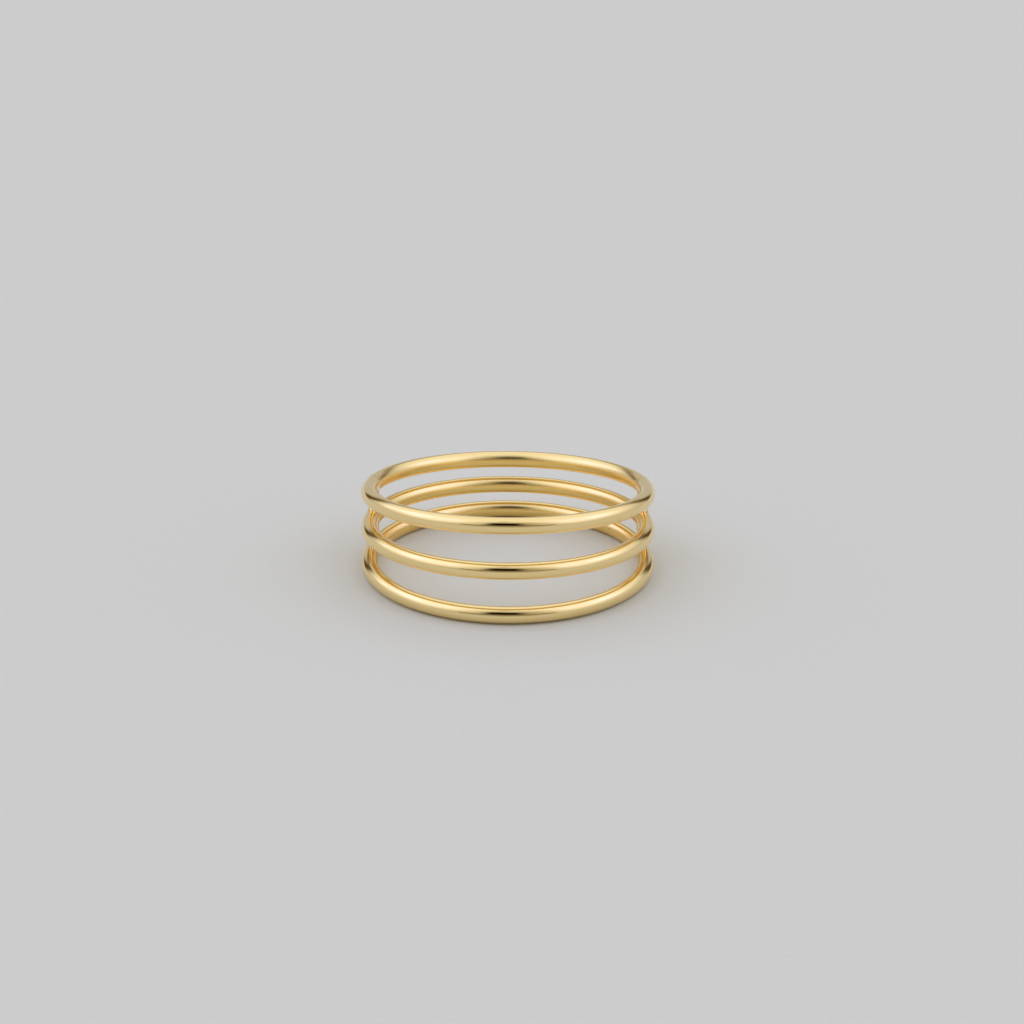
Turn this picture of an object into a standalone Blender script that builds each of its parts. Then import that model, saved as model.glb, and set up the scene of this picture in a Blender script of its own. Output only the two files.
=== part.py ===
# A finger ring of three round-wire hoops, soldered one above another and spread towards the front.
#
# Metres, +Z up. The ring lies on its side, on the lowest hoop, with z = 0 under it. The wide side of the
# fan faces -Y, and the origin is below the middle of the ring's box.

from math import asin, cos, pi, radians, sin

import bpy
from mathutils import Vector

# Sizes of the ring
finger_bore_diameter = 0.0169
wire_diameter = 0.0011
hoop_count = 3
front_spacing = 0.00295  # between the centres of two neighbouring wires, at the front
back_spacing = 0.00175  # the same at the back
post_diameter = 0.0007
post_angle = radians(102)  # from the front of the ring round to the posts on each side

# Facets of the round surfaces
hoop_segments = 72
wire_sides = 14  # twice an odd number, so that a flat facet lies level under the lowest hoop
post_sides = 12
smooth_limit = radians(40)  # edges sharper than this stay crisp

# Colour and finish of the metal
gold_color = (0.83, 0.60, 0.25, 1.0)
gold_roughness = 0.14

# Sizes that follow
wire_radius = wire_diameter / 2
corner_radius = wire_radius / cos(pi / wire_sides)  # the wire's flats are its diameter apart
hoop_radius = finger_bore_diameter / 2 + wire_radius
centre_spacing = (front_spacing + back_spacing) / 2
pitch_step = 2 * asin((front_spacing - back_spacing) / (4 * hoop_radius))


def hoop_places():
    # The hoops are leaves of an even fan: each one lies along the last one's normal, half a step further
    # round, and is pitched one step more. Returns each hoop's centre and pitch.
    places = [(Vector((0, 0, wire_radius)), 0.0)]
    for index in range(1, hoop_count):
        half_way = (index - 0.5) * pitch_step
        rise = centre_spacing * Vector((0, sin(half_way), cos(half_way)))
        places.append((places[-1][0] + rise, index * pitch_step))
    front = min(centre.y - hoop_radius * cos(pitch) for centre, pitch in places)
    back = max(centre.y + hoop_radius * cos(pitch) for centre, pitch in places)
    to_middle = Vector((0, -(front + back) / 2, 0))
    return [(centre + to_middle, pitch) for centre, pitch in places]


def point_on_hoop(place, angle):
    # A point on a hoop's centre line, at an angle round from the front towards +X.
    centre, pitch = place
    forward = Vector((0, -cos(pitch), sin(pitch)))
    sideways = Vector((1, 0, 0))
    return centre + hoop_radius * (cos(angle) * forward + sin(angle) * sideways)


def add_hoop(place):
    centre, pitch = place
    bpy.ops.mesh.primitive_torus_add(
        major_segments=hoop_segments,
        minor_segments=wire_sides,
        major_radius=hoop_radius,
        minor_radius=corner_radius,
        location=centre,
        rotation=(-pitch, 0, 0),
    )
    return bpy.context.object


def add_post(start, end):
    # A round post from one wire's centre line to the next one's, so that both ends are inside the wires.
    along = end - start
    bpy.ops.mesh.primitive_cylinder_add(
        vertices=post_sides,
        radius=post_diameter / 2,
        depth=along.length,
        location=(start + end) / 2,
        rotation=along.to_track_quat("Z", "Y").to_euler(),
    )
    return bpy.context.object


def polished_gold():
    material = bpy.data.materials.new("polished_gold")
    material.use_nodes = True
    shader = material.node_tree.nodes["Principled BSDF"]
    shader.inputs["Base Color"].default_value = gold_color
    shader.inputs["Metallic"].default_value = 1.0
    shader.inputs["Roughness"].default_value = gold_roughness
    return material


def new_collection(name):
    collection = bpy.data.collections.new(name)
    bpy.context.scene.collection.children.link(collection)
    return collection


def move_to(collection, piece):
    for old in list(piece.users_collection):
        old.objects.unlink(piece)
    collection.objects.link(piece)


def solder(first, others, name):
    # Joins the pieces into one closed body by a Boolean union, and removes the separate ones.
    joined = new_collection("soldered_on")
    for piece in others:
        piece.hide_render = True
        piece.display_type = "WIRE"
        move_to(joined, piece)
    union = first.modifiers.new("solder", "BOOLEAN")
    union.operation = "UNION"
    union.solver = "EXACT"
    union.operand_type = "COLLECTION"
    union.collection = joined
    evaluated = first.evaluated_get(bpy.context.evaluated_depsgraph_get())
    mesh = bpy.data.meshes.new_from_object(evaluated)
    mesh.name = name
    body = bpy.data.objects.new(name, mesh)
    body.matrix_world = first.matrix_world
    for piece in [first, *others]:
        bpy.data.objects.remove(piece)
    bpy.data.collections.remove(joined)
    return body


def build():
    for old in list(bpy.data.objects):
        bpy.data.objects.remove(old)

    places = hoop_places()
    hoops = [add_hoop(place) for place in places]
    posts = []
    for lower, upper in zip(places, places[1:]):
        for angle in (post_angle, -post_angle):
            posts.append(add_post(point_on_hoop(lower, angle), point_on_hoop(upper, angle)))

    ring = solder(hoops[0], hoops[1:] + posts, "ring")
    new_collection("triple_hoop_ring").objects.link(ring)
    ring.data.materials.clear()
    ring.data.materials.append(polished_gold())
    ring.data.shade_smooth()
    ring.data.set_sharp_from_angle(angle=smooth_limit)


build()
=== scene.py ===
# A finger ring of three hoops of round gold wire, one above another and spread towards the front.
# Metres, +Z up. The ring lies on its lowest hoop, and its wide side faces -Y, where the camera stands.
from math import asin, atan, cos, hypot, pi, radians, sin, sqrt

import bmesh
import bpy
from mathutils import Matrix, Vector
from mathutils.kdtree import KDTree


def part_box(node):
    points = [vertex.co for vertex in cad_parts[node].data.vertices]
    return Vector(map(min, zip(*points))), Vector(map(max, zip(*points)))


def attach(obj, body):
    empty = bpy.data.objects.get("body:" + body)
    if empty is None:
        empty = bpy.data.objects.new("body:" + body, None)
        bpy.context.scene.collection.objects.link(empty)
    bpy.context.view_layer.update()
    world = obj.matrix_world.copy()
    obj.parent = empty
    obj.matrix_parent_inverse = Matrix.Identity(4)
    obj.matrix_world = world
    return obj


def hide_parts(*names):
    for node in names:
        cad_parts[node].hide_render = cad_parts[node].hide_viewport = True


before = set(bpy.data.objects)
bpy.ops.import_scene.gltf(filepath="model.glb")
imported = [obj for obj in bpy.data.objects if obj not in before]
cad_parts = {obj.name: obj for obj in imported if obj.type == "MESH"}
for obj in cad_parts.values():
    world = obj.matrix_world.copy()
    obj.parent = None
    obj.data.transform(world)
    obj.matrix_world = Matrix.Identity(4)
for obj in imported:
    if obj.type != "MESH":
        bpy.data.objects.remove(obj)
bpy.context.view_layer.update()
ringLow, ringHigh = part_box("ring")
print("frame loaded:", sorted(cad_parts))

mm = 0.001


def linear(hexColor):
    # an sRGB colour such as "c8a050", as the linear values that shaders take
    parts = [int(hexColor[i:i + 2], 16) / 255 for i in (0, 2, 4)]
    return [c / 12.92 if c <= 0.04045 else ((c + 0.055) / 1.055) ** 2.4 for c in parts] + [1.0]


def add(tree, kind, links=None, **settings):
    # one node: its settings, then its inputs, each a value or the socket that feeds it
    node = tree.nodes.new(kind)
    for name, value in settings.items():
        setattr(node, name, value)
    for key, value in (links or {}).items():
        socket = node.inputs[key]
        if isinstance(value, bpy.types.NodeSocket):
            tree.links.new(value, socket)
        else:
            socket.default_value = value
    return node


# Where the hoops lie

hoops = {
    "count": 3,
    "wireDiameter": 1.1 * mm,
    "frontSpacing": 2.95 * mm,  # between the centres of neighbouring wires
    "backSpacing": 1.75 * mm,
    "flatsInModel": 14,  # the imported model's wire has these flats, and the round wire touches each
    "stepsRoundHoop": 288,
    "stepsRoundWire": 40,
}
wireRadius = hoops["wireDiameter"] / 2
hoopRadius = (ringHigh.x - ringLow.x) / 2 - wireRadius / cos(pi / hoops["flatsInModel"])


def fanPlaces():
    # each hoop's centre and pitch, as leaves of an even fan
    apart = hoops["frontSpacing"] - hoops["backSpacing"]
    middle = (hoops["frontSpacing"] + hoops["backSpacing"]) / 2
    step = 2 * asin(apart / (4 * hoopRadius))
    centre = Vector((0, 0, wireRadius))
    found = [(centre, 0.0)]
    for i in range(1, hoops["count"]):
        halfWay = (i - 0.5) * step
        centre = centre + middle * Vector((0, sin(halfWay), cos(halfWay)))
        found.append((centre, i * step))
    front = min(c.y - hoopRadius * cos(pitch) for c, pitch in found)
    back = max(c.y + hoopRadius * cos(pitch) for c, pitch in found)
    shift = Vector((0, -(front + back) / 2, 0))
    return [(c + shift, pitch) for c, pitch in found]


places = fanPlaces()


def outward(place, angle):
    # from a hoop's centre to its wire, at an angle round from the front towards +X
    return Vector((sin(angle), -cos(angle) * cos(place[1]), cos(angle) * sin(place[1])))


def onWire(place, point):
    # the nearest point of a hoop's centre line, and the unit vector from there to the point
    centre, pitch = place
    upright = Vector((0, sin(pitch), cos(pitch)))
    flat = point - centre
    flat -= flat.dot(upright) * upright
    core = centre + flat.normalized() * hoopRadius
    return core, (point - core).normalized()


# The hoops, by Geometry Nodes

def hoopTree():
    tree = bpy.data.node_groups.new("fanned hoops", "GeometryNodeTree")
    tree.is_modifier = True
    for name, kind in (
        ("Hoop Count", "NodeSocketInt"), ("Hoop Radius", "NodeSocketFloat"),
        ("Wire Radius", "NodeSocketFloat"), ("Front Spacing", "NodeSocketFloat"),
        ("Back Spacing", "NodeSocketFloat"),
        ("Lowest Centre", "NodeSocketVector"), ("Steps Round Hoop", "NodeSocketInt"),
        ("Steps Round Wire", "NodeSocketInt"), ("Metal", "NodeSocketMaterial"),
    ):
        tree.interface.new_socket(name, in_out="INPUT", socket_type=kind)
    tree.interface.new_socket("Geometry", in_out="OUTPUT", socket_type="NodeSocketGeometry")
    given = add(tree, "NodeGroupInput").outputs

    # the fan: its step from hoop to hoop, and how far behind the lowest centre its line runs
    spacings = {0: given["Front Spacing"], 1: given["Back Spacing"]}
    apart = add(tree, "ShaderNodeMath", spacings, operation="SUBTRACT")
    both = add(tree, "ShaderNodeMath", spacings, operation="ADD")
    fourfold = add(tree, "ShaderNodeMath", {0: given["Hoop Radius"], 1: 4.0}, operation="MULTIPLY")
    share = add(tree, "ShaderNodeMath", {0: apart.outputs[0], 1: fourfold.outputs[0]}, operation="DIVIDE")
    halfStep = add(tree, "ShaderNodeMath", {0: share.outputs[0]}, operation="ARCSINE")
    step = add(tree, "ShaderNodeMath", {0: halfStep.outputs[0], 1: 2.0}, operation="MULTIPLY")
    ratio = add(tree, "ShaderNodeMath", {0: both.outputs[0], 1: apart.outputs[0]}, operation="DIVIDE")
    reach = add(tree, "ShaderNodeMath", {0: ratio.outputs[0], 1: given["Hoop Radius"]}, operation="MULTIPLY")

    # one point for each hoop's centre
    index = add(tree, "GeometryNodeInputIndex")
    pitch = add(tree, "ShaderNodeMath", {0: index.outputs[0], 1: step.outputs[0]}, operation="MULTIPLY")
    cosine = add(tree, "ShaderNodeMath", {0: pitch.outputs[0]}, operation="COSINE")
    sine = add(tree, "ShaderNodeMath", {0: pitch.outputs[0]}, operation="SINE")
    along = add(tree, "ShaderNodeMath", {0: cosine.outputs[0], 1: reach.outputs[0]}, operation="MULTIPLY")
    ahead = add(tree, "ShaderNodeMath", {0: reach.outputs[0], 1: along.outputs[0]}, operation="SUBTRACT")
    rise = add(tree, "ShaderNodeMath", {0: sine.outputs[0], 1: reach.outputs[0]}, operation="MULTIPLY")
    climb = add(tree, "ShaderNodeCombineXYZ", {"Y": ahead.outputs[0], "Z": rise.outputs[0]})
    centre = add(tree, "ShaderNodeVectorMath", {0: given["Lowest Centre"], 1: climb.outputs[0]},
                 operation="ADD")
    points = add(tree, "GeometryNodePoints", {"Count": given["Hoop Count"], "Position": centre.outputs[0]})

    # one hoop of wire, stood on every point and pitched
    loop = add(tree, "GeometryNodeCurvePrimitiveCircle",
               {"Resolution": given["Steps Round Hoop"], "Radius": given["Hoop Radius"]})
    section = add(tree, "GeometryNodeCurvePrimitiveCircle",
                  {"Resolution": given["Steps Round Wire"], "Radius": given["Wire Radius"]})
    wire = add(tree, "GeometryNodeCurveToMesh",
               {"Curve": loop.outputs["Curve"], "Profile Curve": section.outputs["Curve"]})
    turned = add(tree, "ShaderNodeMath", {0: pitch.outputs[0], 1: -1.0}, operation="MULTIPLY")
    turn = add(tree, "ShaderNodeCombineXYZ", {"X": turned.outputs[0]})
    stood = add(tree, "GeometryNodeInstanceOnPoints",
                {"Points": points.outputs[0], "Instance": wire.outputs[0], "Rotation": turn.outputs[0]})
    real = add(tree, "GeometryNodeRealizeInstances", {"Geometry": stood.outputs[0]})
    smooth = add(tree, "GeometryNodeSetShadeSmooth", {"Geometry": real.outputs[0]})
    finished = add(tree, "GeometryNodeSetMaterial",
                   {"Geometry": smooth.outputs[0], "Material": given["Metal"]})
    add(tree, "NodeGroupOutput", {"Geometry": finished.outputs[0]})
    return tree


def plainMesh(piece, name):
    # the piece as its modifiers leave it, as a mesh of its own
    evaluated = piece.evaluated_get(bpy.context.evaluated_depsgraph_get())
    mesh = bpy.data.meshes.new_from_object(evaluated)
    mesh.name = name
    piece.modifiers.clear()
    piece.data = mesh
    return piece


def newPiece(name):
    piece = bpy.data.objects.new(name, bpy.data.meshes.new(name))
    bpy.context.scene.collection.objects.link(piece)
    return piece


def makeHoops(metal):
    piece = newPiece("polishedRing")
    nodes = piece.modifiers.new("hoops", "NODES")
    nodes.node_group = hoopTree()
    sockets = {item.name: item.identifier for item in nodes.node_group.interface.items_tree}
    for name, value in (
        ("Hoop Count", hoops["count"]), ("Hoop Radius", hoopRadius), ("Wire Radius", wireRadius),
        ("Front Spacing", hoops["frontSpacing"]), ("Back Spacing", hoops["backSpacing"]),
        ("Lowest Centre", places[0][0]), ("Steps Round Hoop", hoops["stepsRoundHoop"]),
        ("Steps Round Wire", hoops["stepsRoundWire"]), ("Metal", metal),
    ):
        nodes[sockets[name]] = value
    return plainMesh(piece, "polishedRing")


# The soldered posts between the hoops

posts = {
    "diameter": 0.7 * mm,
    "angle": radians(102),  # from the front, on both sides
    "solderAlong": 0.26 * mm,  # how far the solder runs out along the wire
    "solderAcross": 0.07 * mm,  # and round it
    "sunk": 0.12 * mm,  # how deep the fillet's edge goes on into the wire
    "stepsRound": 40,
    "stepsInFillet": 9,
}


def postPlaces():
    # each post's two hoops, its angle round them and its two ends, on the wires' centre lines
    found = []
    for lower, upper in zip(places, places[1:]):
        for angle in (posts["angle"], -posts["angle"]):
            start = lower[0] + hoopRadius * outward(lower, angle)
            end = upper[0] + hoopRadius * outward(upper, angle)
            found.append((lower, upper, angle, start, end))
    return found


def filletRows(place, root, axis, along):
    # a post's rows of points at one end, from inside the wire, out over the solder and up the post
    across = axis.cross(along)
    postRadius = posts["diameter"] / 2
    longReach = postRadius + posts["solderAlong"]
    shortReach = postRadius + posts["solderAcross"]
    rows = [[] for _ in range(posts["stepsInFillet"] + 2)]
    for k in range(posts["stepsRound"]):
        turn = 2 * pi * k / posts["stepsRound"]
        side = cos(turn) * along + sin(turn) * across
        reach = 1 / hypot(cos(turn) / longReach, sin(turn) / shortReach)
        height = sqrt(wireRadius ** 2 - (reach * sin(turn)) ** 2)
        core, normal = onWire(place, root + reach * side + height * axis)
        foot = core + wireRadius * normal
        base = root + postRadius * side
        bend = base + axis * ((foot - base).dot(normal) / axis.dot(normal))
        top = bend + axis * (foot - bend).length
        rows[0].append(foot - posts["sunk"] * normal)
        for j in range(posts["stepsInFillet"] + 1):
            t = j / posts["stepsInFillet"]
            rows[j + 1].append((1 - t) ** 2 * foot + 2 * t * (1 - t) * bend + t ** 2 * top)
    return rows


def makePosts(metal):
    shape = bmesh.new()
    for lower, upper, angle, start, end in postPlaces():
        axis = (end - start).normalized()
        along = outward(lower, angle + pi / 2)
        along = (along - along.dot(axis) * axis).normalized()
        rows = filletRows(lower, start, axis, along)
        # seen from the upper end the rows run the other way round, so they are turned back
        upperRows = filletRows(upper, end, -axis, along)
        rows += [[row[-k] for k in range(len(row))] for row in reversed(upperRows)]
        rings = [[shape.verts.new(point) for point in row] for row in rows]
        for one, two in zip(rings, rings[1:]):
            for k in range(len(one)):
                shape.faces.new((one[k - 1], one[k], two[k], two[k - 1]))
        shape.faces.new(rings[0])
        shape.faces.new(reversed(rings[-1]))
    bmesh.ops.recalc_face_normals(shape, faces=shape.faces[:])
    for face in shape.faces:
        face.smooth = len(face.verts) == 4
    piece = newPiece("posts")
    shape.to_mesh(piece.data)
    shape.free()
    piece.data.materials.append(metal)
    return piece


# Hoops and posts as one body, with what its finish reads

joint = {
    "weld": 0.004 * mm,  # points nearer than this become one, along the seams of the union
    "sliver": 0.001 * mm,  # and edges shorter than this go
    "onWire": 0.002 * mm,  # a point this near the round wire takes the wire's normal
    "solderEnds": (0.42 * mm, 0.75 * mm),  # from a post's axis: all solder, then none
    "hoopStep": 3.0,  # sets each hoop's buffing lines apart from the next one's
}


def solderTogether(ring, postPiece):
    postNormals = KDTree(len(postPiece.data.vertices))
    for vertex in postPiece.data.vertices:
        postNormals.insert(vertex.co, vertex.index)
    postNormals.balance()
    normals = [vertex.normal.copy() for vertex in postPiece.data.vertices]

    union = ring.modifiers.new("solder", "BOOLEAN")
    union.operation = "UNION"
    union.solver = "EXACT"
    union.object = postPiece
    plainMesh(ring, "polishedRing")
    shape = bmesh.new()
    shape.from_mesh(ring.data)
    bmesh.ops.remove_doubles(shape, verts=shape.verts[:], dist=joint["weld"])
    bmesh.ops.dissolve_degenerate(shape, edges=shape.edges[:], dist=joint["sliver"])
    bmesh.ops.recalc_face_normals(shape, faces=shape.faces[:])
    openEdges = sum(not edge.is_manifold for edge in shape.edges)
    shape.to_mesh(ring.data)
    shape.free()
    print("ring joined:", len(ring.data.polygons), "faces,", openEdges, "open edges")

    # for each point: its normal on the round wire or the post, its place in the wire's section in
    # millimetres, with the hoop it is on, and how much of it is solder
    shading = []
    section = []
    solder = []
    inner, outer = joint["solderEnds"]
    stands = postPlaces()
    for vertex in ring.data.vertices:
        point = vertex.co
        distance, nearest = min(((point - onWire(p, point)[0]).length, i) for i, p in enumerate(places))
        core, normal = onWire(places[nearest], point)
        if abs(distance - wireRadius) < joint["onWire"]:
            shading.append(normal)
        else:
            shading.append(normals[postNormals.find(point)[1]])
        centre, pitch = places[nearest]
        upright = Vector((0, sin(pitch), cos(pitch)))
        offset = point - core
        radial = (core - centre).normalized()
        section.extend((offset.dot(radial) / mm, offset.dot(upright) / mm, nearest * joint["hoopStep"]))
        away = outer
        for lower, upper, angle, start, end in stands:
            axis = (end - start).normalized()
            t = min(max((point - start).dot(axis), 0.0), (end - start).length)
            away = min(away, (point - start - t * axis).length)
        share = min(max((outer - away) / (outer - inner), 0.0), 1.0)
        solder.append(share * share * (3 - 2 * share))
    ring.data.attributes.new("wireSection", "FLOAT_VECTOR", "POINT").data.foreach_set("vector", section)
    ring.data.attributes.new("solder", "FLOAT", "POINT").data.foreach_set("value", solder)
    ring.data.shade_smooth()
    ring.data.normals_split_custom_set_from_vertices(shading)
    bpy.data.objects.remove(postPiece)
    return ring


# Polished 14 carat yellow gold: an alloy of gold, silver and copper, drawn to wire, soldered and buffed.
# It mirrors the studio with a warm tint. Buffing leaves faint lines along the wire, handling a little haze,
# and the solder round each post is a warmer alloy that takes the polish less well.

gold = {
    "colour": "fde6aa",
    "colourDeep": "fde0a0",
    "paintedReflectionColour": "ffdc88",  # a painted reflection: deeper orange on the lower finger side, standing in for the other gold wires mirrored there
    "solderColour": "fad890",
    "fingerFrom": (-0.1, -0.4),  # millimetres in from the wire's middle: none of that side, then all of it
    "paintedReflectionBelow": (0.3, 0.0),  # and up from it: the painted reflection covers only the lower part
    "roughness": 0.05,
    "hazeRoughness": 0.04,  # added in the haziest patches
    "hazeRange": (0.45, 0.72),  # of the noise: no haze, then all of it
    "fingerRoughness": 0.15,  # added on all of the finger side
    "solderRoughness": 0.16,
    "hazePatch": 2.6,  # millimetres, as the other patches, widths, lengths and depths
    "hazeDetail": 4.0,
    "tonePatch": 4.0,
    "toneDetail": 2.0,
    "lineWidth": 0.06,  # real buffing lines are near 0.005 mm; these are as coarse as the picture can show
    "lineLength": 2.2,
    "lineDepth": 0.0006,
    "lineDetail": 2.0,
    "lineRoughness": 0.03,
    "wavePatch": 1.6,  # the hand-worked wire's faint waviness
    "waveDepth": 0.004,
    "waveDetail": 1.0,
}


def polishedGold():
    material = bpy.data.materials.new("polished yellow gold")
    material.use_nodes = True
    tree = material.node_tree
    tree.nodes.clear()
    place = add(tree, "ShaderNodeTexCoord")
    inMm = add(tree, "ShaderNodeVectorMath", {0: place.outputs["Object"], "Scale": 1 / mm}, operation="SCALE")
    section = add(tree, "ShaderNodeAttribute", attribute_name="wireSection")
    solder = add(tree, "ShaderNodeAttribute", attribute_name="solder")

    # colour: two near tones in soft patches, a painted reflection in deeper orange on the lower finger side,
    # and the warmer solder
    side = add(tree, "ShaderNodeSeparateXYZ", {0: section.outputs["Vector"]})
    tone = add(tree, "ShaderNodeTexNoise",
               {"Vector": inMm.outputs[0], "Scale": 1 / gold["tonePatch"], "Detail": gold["toneDetail"]})
    metalColour = add(tree, "ShaderNodeMix", {0: tone.outputs[0], 6: linear(gold["colour"]),
                                              7: linear(gold["colourDeep"])}, data_type="RGBA")
    inward = add(tree, "ShaderNodeMapRange", {"Value": side.outputs["X"],
                                              "From Min": gold["fingerFrom"][0],
                                              "From Max": gold["fingerFrom"][1]})
    # painted reflection: the lower part of the finger side is coloured deeper orange, in place of the other
    # gold wires it mirrors
    below = add(tree, "ShaderNodeMapRange", {"Value": side.outputs["Y"],
                                             "From Min": gold["paintedReflectionBelow"][0],
                                             "From Max": gold["paintedReflectionBelow"][1]})
    paintedReflectionMask = add(tree, "ShaderNodeMath", {0: inward.outputs[0], 1: below.outputs[0]}, operation="MULTIPLY")
    withPaintedReflection = add(tree, "ShaderNodeMix", {0: paintedReflectionMask.outputs[0], 6: metalColour.outputs[2],
                                           7: linear(gold["paintedReflectionColour"])}, data_type="RGBA")
    colour = add(tree, "ShaderNodeMix", {0: solder.outputs["Fac"], 6: withPaintedReflection.outputs[2],
                                         7: linear(gold["solderColour"])}, data_type="RGBA")

    # buffing lines: narrow round the wire and long along it, without a seam
    spot = add(tree, "ShaderNodeSeparateXYZ", {0: inMm.outputs[0]})
    narrow = 1 / gold["lineWidth"]
    long = 1 / gold["lineLength"]
    radial = add(tree, "ShaderNodeMath", {0: side.outputs["X"], 1: narrow}, operation="MULTIPLY")
    upright = add(tree, "ShaderNodeMath", {0: side.outputs["Y"], 1: narrow}, operation="MULTIPLY")
    alongX = add(tree, "ShaderNodeMath", {0: spot.outputs["X"], 1: long}, operation="MULTIPLY")
    alongY = add(tree, "ShaderNodeMath", {0: spot.outputs["Y"], 1: long, 2: side.outputs["Z"]},
                 operation="MULTIPLY_ADD")
    lineSpot = add(tree, "ShaderNodeCombineXYZ", {"X": radial.outputs[0], "Y": upright.outputs[0],
                                                  "Z": alongX.outputs[0]})
    lines = add(tree, "ShaderNodeTexNoise", {"Vector": lineSpot.outputs[0], "W": alongY.outputs[0],
                                             "Scale": 1.0, "Detail": gold["lineDetail"]},
                noise_dimensions="4D")

    # roughness: polish, haze in patches, the softer finger side and the solder
    haze = add(tree, "ShaderNodeTexNoise",
               {"Vector": inMm.outputs[0], "Scale": 1 / gold["hazePatch"], "Detail": gold["hazeDetail"]})
    hazy = add(tree, "ShaderNodeMapRange", {"Value": haze.outputs[0],
                                            "From Min": gold["hazeRange"][0],
                                            "From Max": gold["hazeRange"][1],
                                            "To Min": gold["roughness"],
                                            "To Max": gold["roughness"] + gold["hazeRoughness"]})
    lined = add(tree, "ShaderNodeMath", {0: lines.outputs[0], 1: gold["lineRoughness"],
                                         2: hazy.outputs[0]}, operation="MULTIPLY_ADD")
    worn = add(tree, "ShaderNodeMath", {0: inward.outputs[0], 1: gold["fingerRoughness"],
                                        2: lined.outputs[0]}, operation="MULTIPLY_ADD")
    rough = add(tree, "ShaderNodeMath", {0: solder.outputs["Fac"], 1: gold["solderRoughness"],
                                         2: worn.outputs[0]}, operation="MULTIPLY_ADD")

    # relief: the buffing lines on the hand-worked wire's faint waves
    wave = add(tree, "ShaderNodeTexNoise",
               {"Vector": inMm.outputs[0], "Scale": 1 / gold["wavePatch"], "Detail": gold["waveDetail"]})
    waved = add(tree, "ShaderNodeBump", {"Strength": 1.0, "Distance": gold["waveDepth"] * mm,
                                         "Height": wave.outputs[0]})
    relief = add(tree, "ShaderNodeBump", {"Strength": 1.0, "Distance": gold["lineDepth"] * mm,
                                          "Height": lines.outputs[0], "Normal": waved.outputs[0]})
    shader = add(tree, "ShaderNodeBsdfPrincipled", {"Base Color": colour.outputs[2], "Metallic": 1.0,
                                                    "Roughness": rough.outputs[0],
                                                    "Normal": relief.outputs[0]})
    add(tree, "ShaderNodeOutputMaterial", {"Surface": shader.outputs[0]})
    return material


metal = polishedGold()
ring = solderTogether(makeHoops(metal), makePosts(metal))
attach(ring, "root")
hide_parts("ring")
print("ring made:", len(ring.data.vertices), "points")


# A sheet of pale matt card under the ring: dull, with a fine tooth that only breaks up its shade

card = {
    "size": 3.0,  # metres, so that its edges stay out of sight
    "colour": "dee0d7",
    "colourWorn": "dbdbd2",
    "fibre": 0.4,  # millimetres
    "fibreDetail": 3.0,
    "tooth": 0.01,
    "toothStrength": 0.3,
    "roughness": 0.9,
    "specular": 0.1,
}


def makeFloor():
    material = bpy.data.materials.new("pale matt card")
    material.use_nodes = True
    tree = material.node_tree
    tree.nodes.clear()
    place = add(tree, "ShaderNodeTexCoord")
    inMm = add(tree, "ShaderNodeVectorMath", {0: place.outputs["Object"], "Scale": 1 / mm}, operation="SCALE")
    fibres = add(tree, "ShaderNodeTexNoise",
                 {"Vector": inMm.outputs[0], "Scale": 1 / card["fibre"], "Detail": card["fibreDetail"]})
    colour = add(tree, "ShaderNodeMix", {0: fibres.outputs[0], 6: linear(card["colour"]),
                                         7: linear(card["colourWorn"])}, data_type="RGBA")
    tooth = add(tree, "ShaderNodeBump", {"Strength": card["toothStrength"],
                                         "Distance": card["tooth"] * mm,
                                         "Height": fibres.outputs[0]})
    shader = add(tree, "ShaderNodeBsdfPrincipled", {"Base Color": colour.outputs[2],
                                                    "Roughness": card["roughness"],
                                                    "Specular IOR Level": card["specular"],
                                                    "Normal": tooth.outputs[0]})
    add(tree, "ShaderNodeOutputMaterial", {"Surface": shader.outputs[0]})
    shape = bmesh.new()
    bmesh.ops.create_grid(shape, x_segments=1, y_segments=1, size=card["size"] / 2)
    piece = newPiece("floor")
    shape.to_mesh(piece.data)
    shape.free()
    piece.data.materials.append(material)


makeFloor()
print("floor laid")

# Soft studio light: a pale room with a softbox, a lamp and reflectors at each side, the dark camera in its
# shade in front, and the dark edges of the table and the backdrop. Each is a soft-edged card, placed by
# its azimuth from the camera's side towards +X and its elevation, in degrees. Later ones cover earlier ones.

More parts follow.
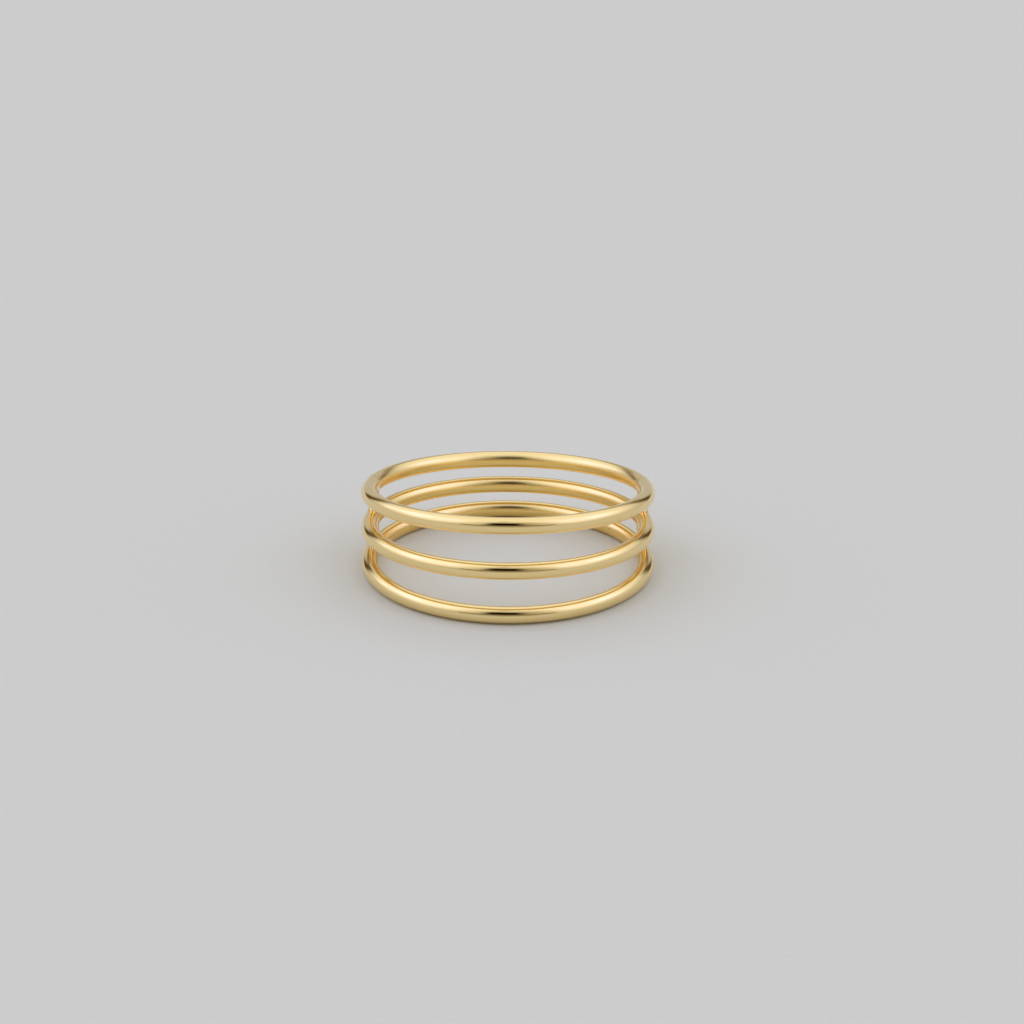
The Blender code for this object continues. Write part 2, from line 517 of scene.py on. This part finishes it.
studio = {
    "room": 0.51,
    "cards": (
        {"name": "upper room", "azimuth": 172, "elevation": 66, "halfWidth": 176, "halfHeight": 40,
         "soft": 33, "colour": "ffffff", "light": 0.93},
        {"name": "left softbox", "azimuth": -91, "elevation": 42, "halfWidth": 38, "halfHeight": 24,
         "soft": 52, "colour": "f0eeff", "light": 1.35},
        {"name": "right softbox", "azimuth": 78, "elevation": 41, "halfWidth": 41, "halfHeight": 24,
         "soft": 55, "colour": "f0eeff", "light": 1.28},
        {"name": "left lamp", "azimuth": -99, "elevation": 41, "halfWidth": 17, "halfHeight": 10,
         "soft": 16, "colour": "d8d6ff", "light": 1.95},
        {"name": "right lamp", "azimuth": 94, "elevation": 39, "halfWidth": 16, "halfHeight": 9,
         "soft": 16, "colour": "d8d6ff", "light": 1.90},
        {"name": "left lamp's rear reflector", "azimuth": -122, "elevation": 28, "halfWidth": 7,
         "halfHeight": 7, "soft": 12, "colour": "dde0ff", "light": 1.65},
        {"name": "left lamp's front reflector", "azimuth": -67, "elevation": 54, "halfWidth": 13,
         "halfHeight": 8, "soft": 14, "colour": "dde0ff", "light": 1.60},
        {"name": "right lamp's front reflector", "azimuth": 66, "elevation": 51, "halfWidth": 12,
         "halfHeight": 8, "soft": 14, "colour": "dde0ff", "light": 1.55},
        {"name": "shade round the camera", "azimuth": 4, "elevation": 37, "halfWidth": 31,
         "halfHeight": 28, "soft": 50, "colour": "fff4d6", "light": 0.35},
        {"name": "camera", "azimuth": -3, "elevation": 40, "halfWidth": 16, "halfHeight": 16,
         "soft": 14, "colour": "ffb840", "light": 0.008},
        {"name": "table edge", "azimuth": 0, "elevation": 19, "halfWidth": 38, "halfHeight": 3,
         "soft": 5, "colour": "ffcc77", "light": 0.06},
        {"name": "left side of the backdrop", "azimuth": -145, "elevation": 10, "halfWidth": 7,
         "halfHeight": 12, "soft": 11, "colour": "ffcc77", "light": 0.10},
        {"name": "right side of the backdrop", "azimuth": 145, "elevation": 10, "halfWidth": 7,
         "halfHeight": 12, "soft": 11, "colour": "ffcc77", "light": 0.10},
        {"name": "left corner of the backdrop", "azimuth": -151, "elevation": 23, "halfWidth": 5,
         "halfHeight": 5, "soft": 9, "colour": "ffcc77", "light": 0.07},
        {"name": "right corner of the backdrop", "azimuth": 152, "elevation": 23, "halfWidth": 5,
         "halfHeight": 5, "soft": 9, "colour": "ffcc77", "light": 0.07},
        {"name": "top of the backdrop", "azimuth": 181, "elevation": 22, "halfWidth": 23,
         "halfHeight": 3, "soft": 8, "colour": "ffcc77", "light": 0.18},
    ),
}


def lightStudio():
    world = bpy.data.worlds.new("studio")
    bpy.context.scene.world = world
    world.use_nodes = True
    tree = world.node_tree
    tree.nodes.clear()
    sight = add(tree, "ShaderNodeTexCoord")
    way = add(tree, "ShaderNodeSeparateXYZ", {0: sight.outputs["Generated"]})
    elevation = add(tree, "ShaderNodeMath", {0: way.outputs["Z"]}, operation="ARCSINE")
    towards = add(tree, "ShaderNodeMath", {0: way.outputs["Y"], 1: -1.0}, operation="MULTIPLY")
    azimuth = add(tree, "ShaderNodeMath", {0: way.outputs["X"], 1: towards.outputs[0]}, operation="ARCTAN2")
    light = [studio["room"]] * 3 + [1.0]
    for item in studio["cards"]:
        spans = []
        for angle, middle, half in (
            (azimuth, item["azimuth"], item["halfWidth"]),
            (elevation, item["elevation"], item["halfHeight"]),
        ):
            off = add(tree, "ShaderNodeMath", {0: angle.outputs[0], 1: radians(middle)}, operation="SUBTRACT")
            # the shorter way round, at most half a turn
            far = add(tree, "ShaderNodeMath", {0: off.outputs[0], 1: pi}, operation="PINGPONG")
            spans.append(add(tree, "ShaderNodeMapRange",
                             {"Value": far.outputs[0], "From Min": radians(half + item["soft"] / 2),
                              "From Max": radians(half - item["soft"] / 2)},
                             interpolation_type="SMOOTHSTEP"))
        mask = add(tree, "ShaderNodeMath", {0: spans[0].outputs[0], 1: spans[1].outputs[0]},
                   operation="MULTIPLY")
        shone = [item["light"] * part for part in linear(item["colour"])]
        mixed = add(tree, "ShaderNodeMix", {0: mask.outputs[0], 6: light, 7: shone}, data_type="RGBA")
        light = mixed.outputs[2]
    ground = add(tree, "ShaderNodeBackground", {"Color": light, "Strength": 1.0})
    add(tree, "ShaderNodeOutputWorld", {"Surface": ground.outputs[0]})


lightStudio()
print("studio lit")

# The camera, where the photograph was taken from

photo = {
    "frame": 1024,  # pixels
    "distance": 225 * mm,
    "elevation": radians(22.83),
    "pixelsPerMillimetre": 15.302,  # at the lowest hoop's middle
    "middle": (507.68, 567.55),  # the pixel of the floor below that middle
    "roll": radians(0.34),
    "sensorWidth": 36,  # millimetres
    "nearest": 10 * mm,  # the camera's clipping distances
    "furthest": 10,
}


def placeCamera():
    data = bpy.data.cameras.new("camera")
    camera = bpy.data.objects.new("camera", data)
    bpy.context.scene.collection.objects.link(camera)
    bpy.context.scene.camera = camera
    focalPixels = photo["pixelsPerMillimetre"] / mm * photo["distance"]
    data.sensor_width = photo["sensorWidth"]
    data.lens = data.sensor_width * focalPixels / photo["frame"]
    data.clip_start = photo["nearest"]
    data.clip_end = photo["furthest"]
    target = Vector((0, places[0][0].y, 0))
    back = Vector((0, -cos(photo["elevation"]), sin(photo["elevation"])))
    camera.location = target + back * photo["distance"]
    # rolled a little, then turned a little off the target, as the photograph was taken
    right = atan((photo["frame"] / 2 - photo["middle"][0]) / focalPixels)
    up = atan((photo["middle"][1] - photo["frame"] / 2) / focalPixels)
    facing = (-back).to_track_quat("-Z", "Y").to_matrix()
    roll = Matrix.Rotation(photo["roll"], 3, "Z")
    turn = Matrix.Rotation(-right, 3, "Y") @ Matrix.Rotation(up, 3, "X")
    camera.rotation_euler = (facing @ roll @ turn).to_euler()


placeCamera()
bpy.context.scene.view_settings.view_transform = "Standard"  # the photograph's tones, unlike AgX
print("camera placed")
